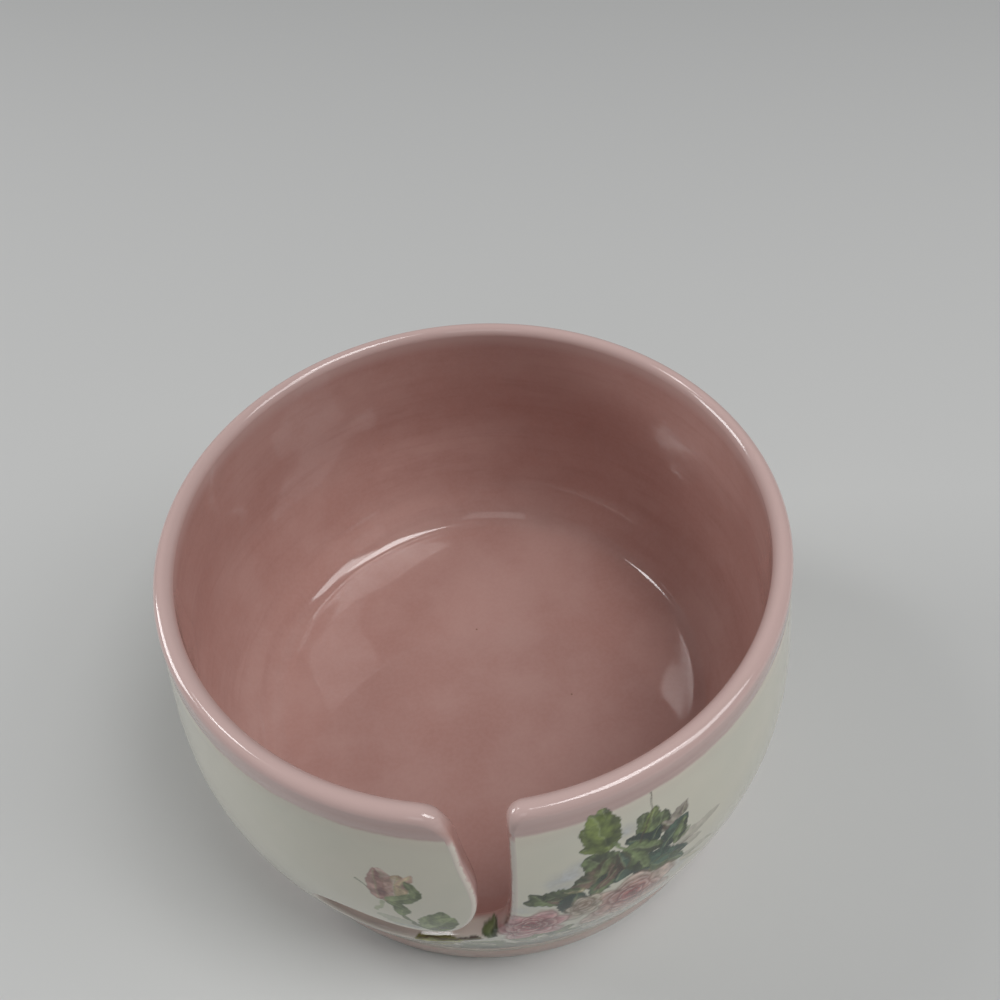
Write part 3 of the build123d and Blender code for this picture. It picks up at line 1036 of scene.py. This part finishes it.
def paint_lower_leaves(art):
    """The leaves on the strip of wall below the slot."""
    art.leaf((-12.6, 30.6), (-5, 28), 2.6, GREY, 0.08)
    art.leaf((-10, 33.4), (-2, 31.6), 3, GREY, 0.08)
    art.leaf((-6, 26.6), (2.6, 27.4), 2.8, (TEAL[0], GREY[1]), 0.08)
    art.leaf((-5, 31.2), (-3.6, 36.6), 3, (GREY[0], LEAF[1]), 0.08)
    art.leaf((-7.4, 36.8), (-12.8, 33.8), 2.4, BROWN, 0.08)
    art.leaf((-11.6, 34.2), (-22.4, 27.8), 5.4, OLIVE, 0.1)
    art.leaf((-13, 31), (-19.6, 25.6), 3, OLIVE, 0.1)
    art.stem([(-12.4, 34.4), (-16.6, 32.4), (-21, 29.4)], 0.5, BROWN[0], 0.8)


# How far the print runs over the slot's edge, in millimetres
WRAP_DEPTH, WRAP_FADE, WRAP_DEEPEST = 1.2, 0.9, 5
WRAP_LEFT, WRAP_RIGHT, WRAP_TOP = -24, 12, 60


def wrapped_paint(points):
    """The print where it runs over the rounded edge of the slot, as colour and cover."""
    s, z = length_round(points), points[:, 2]
    depth = outer_radius(z)[0] - np.hypot(points[:, 0], points[:, 1])
    art = Painting(s, z + depth)
    paint_ground_and_shade(art)
    paint_lower_leaves(art)
    paint_rose_spray(art)
    art.cover *= 1 - smooth_step((depth - WRAP_DEPTH) / WRAP_FADE)
    art.leaf((-4.9, 35.6), (-4, 44), 3, LEAF, 0.05, 0.5)  # in the slot's lower right corner
    art.cover *= (s > WRAP_LEFT) & (s < WRAP_RIGHT) & (z < WRAP_TOP) & (depth < WRAP_DEEPEST)
    return art.result()


def slot_border(places, start, edge):
    """How far flat places are from the slot's rounded edge, which way it faces, and how far inside."""
    near = np.abs(start[:, 0]) < SLOT_REACH
    path, inward = start[near], unit((start - edge)[near])
    gap = np.full(len(places), FAR)
    nearest = np.zeros(len(places), int)
    for i, point in enumerate(path):
        away = np.hypot(*(places - point).T)
        closer = away < gap
        gap[closer], nearest[closer] = away[closer], i
    inward = inward[nearest]
    return gap, inward, ((places - path[nearest]) * inward).sum(1)


# The printed sheets: how far they stand out, how thick they are, and how their borders fade
PRINT_PROUD, PRINT_THICK = 0.04, 0.12
BORDER_POWER, BORDER_RISE, BORDER_FADE = 5, 0.4, 0.15
EDGE_RISE, EDGE_ROOM = 0.6, 3


def print_grid(span, step):
    """The places of a sheet's grid, its shape, and a measure that is 0 at the border and 1 inside."""
    (s0, s1), (z0, z1) = span
    s, z = np.meshgrid(*[np.linspace(a, b, int((b - a) / step) + 1) for a, b in span])
    places = np.stack([s.ravel(), z.ravel()], -1)
    u = 2 * (places[:, 0] - s0) / (s1 - s0) - 1
    v = 2 * (places[:, 1] - z0) / (z1 - z0) - 1
    return places, s.shape, 1 - np.abs(u) ** BORDER_POWER - np.abs(v) ** BORDER_POWER


def print_colours(places, inside, paint):
    """The print over the ground's wash and its painted shade, faded out at the sheet's border."""
    art, ground = Painting(*places.T), Painting(*places.T)
    paint(art)
    paint_ground_and_shade(ground)
    ground.lay(art.cover * smooth_step(inside / BORDER_FADE), art.colour)
    return ground.result()


def print_piece(names, span, step, paint, start, edge):
    """A printed sheet on the outside of the wall, cut off where the slot's edge starts to round."""
    places, shape, inside = print_grid(span, step)
    gap, inward, room = slot_border(places, start, edge)
    faces = grid_faces(((room > -0.2 * step) & (inside > 0)).reshape(shape))
    close = (room < 1.2 * step) & (gap < 2 * step)
    places = places - close[:, None] * inward * room[:, None]
    room = np.where(close, 0, np.where(gap < EDGE_ROOM, room, EDGE_ROOM))
    lift = (1.5 * smooth_step(inside / BORDER_RISE) - 0.5) * smooth_step(room / EDGE_RISE)
    radius, slope = outer_radius(places[:, 1])
    points = place(places[:, 0], places[:, 1], radius + PRINT_PROUD * lift)
    normals = facing(places[:, 0], slope, 1)
    both, facing_both, _, made = shell(points, normals, room, faces, PRINT_THICK)
    tints = np.tile(print_colours(places, inside, paint)[used(faces)], (2, 1))
    make_piece(names, both, made, facing_both, wall_material(names[0] + "_glaze"), {"paint": tints})


# The floor, the pale world, and the lamps: name, place, size and power
FLOOR_CORNERS = [(-3, -3, 0), (3, -3, 0), (3, 3, 0), (-3, 3, 0)]
FLOOR_COLOUR, FLOOR_ROUGHNESS = (0.66, 0.665, 0.655), 0.85
WORLD_COLOUR, WORLD_STRENGTH = (0.93, 0.95, 1, 1), 0.115
LAMPS = [
    ("overhead", (0.389, -0.224, 1.162), 0.45, 5),
    ("right_window", (0.806, -0.262, 0.898), 0.45, 2.9),
    ("left_window", (-1.058, 0.344, 0.5), 0.45, 4.6),
    ("front", (-0.192, -0.848, 0.866), 0.45, 0.5),
    ("left_glint", (-0.404, 0.147, 0.664), 0.12, 0.45),
]


def floor_and_light():
    """A plain pale floor and plain soft studio light."""
    mesh = bpy.data.meshes.new("floor")
    mesh.from_pydata(FLOOR_CORNERS, [], [(0, 1, 2, 3)])
    look = Shading("pale_floor")
    look.set(Base_Color=FLOOR_COLOUR, Roughness=FLOOR_ROUGHNESS)
    mesh.materials.append(look.material)
    added("floor", mesh)
    world = bpy.data.worlds.new("studio")
    bpy.context.scene.world = world
    world.use_nodes = True
    back = world.node_tree.nodes["Background"]
    back.inputs["Color"].default_value = WORLD_COLOUR
    back.inputs["Strength"].default_value = WORLD_STRENGTH
    for row in LAMPS:
        lamp(*row)


def lamp(name, where, size, power):
    """A square soft light that looks at the middle of the bowl."""
    data = bpy.data.lights.new(name, "AREA")
    data.shape, data.size, data.energy = "SQUARE", size, power
    light = added(name, data)
    light.location = where
    aim = Vector((0, 0, HEIGHT / 2 * MM)) - light.location
    light.rotation_mode = "QUATERNION"
    light.rotation_quaternion = aim.to_track_quat("-Z", "Y")


# The camera stands in front of the slot, looks down steeply and leans a little.
CAMERA_DISTANCE = 0.3056
CAMERA_ELEVATION = math.radians(60.07)
CAMERA_AIM = Vector((0, 0, 0.05))
CAMERA_YAW, CAMERA_PITCH, CAMERA_ROLL = map(math.radians, (1.744, 6.068, -6.464))
CAMERA_LENS, CAMERA_FILM = 38.16, 36
CAMERA_CLIP = (0.01, 20)


def add_camera():
    """The photo's camera."""
    data = bpy.data.cameras.new("camera")
    data.sensor_width, data.lens = CAMERA_FILM, CAMERA_LENS
    data.clip_start, data.clip_end = CAMERA_CLIP
    camera = added("camera", data)
    level, steep = math.cos(CAMERA_ELEVATION), math.sin(CAMERA_ELEVATION)
    where = Vector((0, -CAMERA_DISTANCE * level, CAMERA_DISTANCE * steep))
    ahead = (CAMERA_AIM - where).normalized()
    right = Vector((1, 0, 0))
    up = right.cross(ahead)
    ahead, right = turn(ahead, right, CAMERA_YAW)
    ahead, up = turn(ahead, up, CAMERA_PITCH)
    right, up = turn(right, up, CAMERA_ROLL)
    axes = Matrix((right, up, -ahead)).transposed().to_4x4()
    camera.matrix_world = Matrix.Translation(where) @ axes
    bpy.context.scene.camera = camera


def turn(first, second, angle):
    """Turns the first direction towards the second, and the second away from it."""
    c, s = math.cos(angle), math.sin(angle)
    return first * c + second * s, second * c - first * s


add_camera()
floor_and_light()
bpy.context.scene.view_settings.view_transform = "Standard"

edge, start, rounding = edge_loop()
surface = bowl_skin(edge, start, rounding)
clay_piece(surface, clay_material())

wall_names = ("wall_coat", "wall_glaze", "ivory_glaze")
liner_names = ("liner_coat", "liner_glaze", "pink_glaze")
foot_names = ("foot_coat", "foot_glaze", "pink_foot_glaze")
glaze_piece(wall_names, surface, ["wall", "skirt"], wall_material("ivory_glaze_gloss"))
glaze_piece(liner_names, surface, ["band", "edge", "liner", "floor"], liner_material())
glaze_piece(foot_names, surface, ["foot"], foot_material())

spray_names = ("rose_print", "rose_spray_decal", "rose_transfer")
bud_names = ("rosebud_print", "rosebud_decal", "bud_transfer")
leaf_names = ("lower_leaf_print", "lower_leaf_decal", "leaf_transfer")
print_piece(spray_names, ((-4, 50), (26, 82)), 0.27, paint_rose_spray, start, edge)
print_piece(bud_names, ((-33, -9), (40, 70)), 0.2, paint_rosebud, start, edge)
print_piece(leaf_names, ((-24, 1), (18, 34)), 0.2, paint_lower_leaves, start, edge)
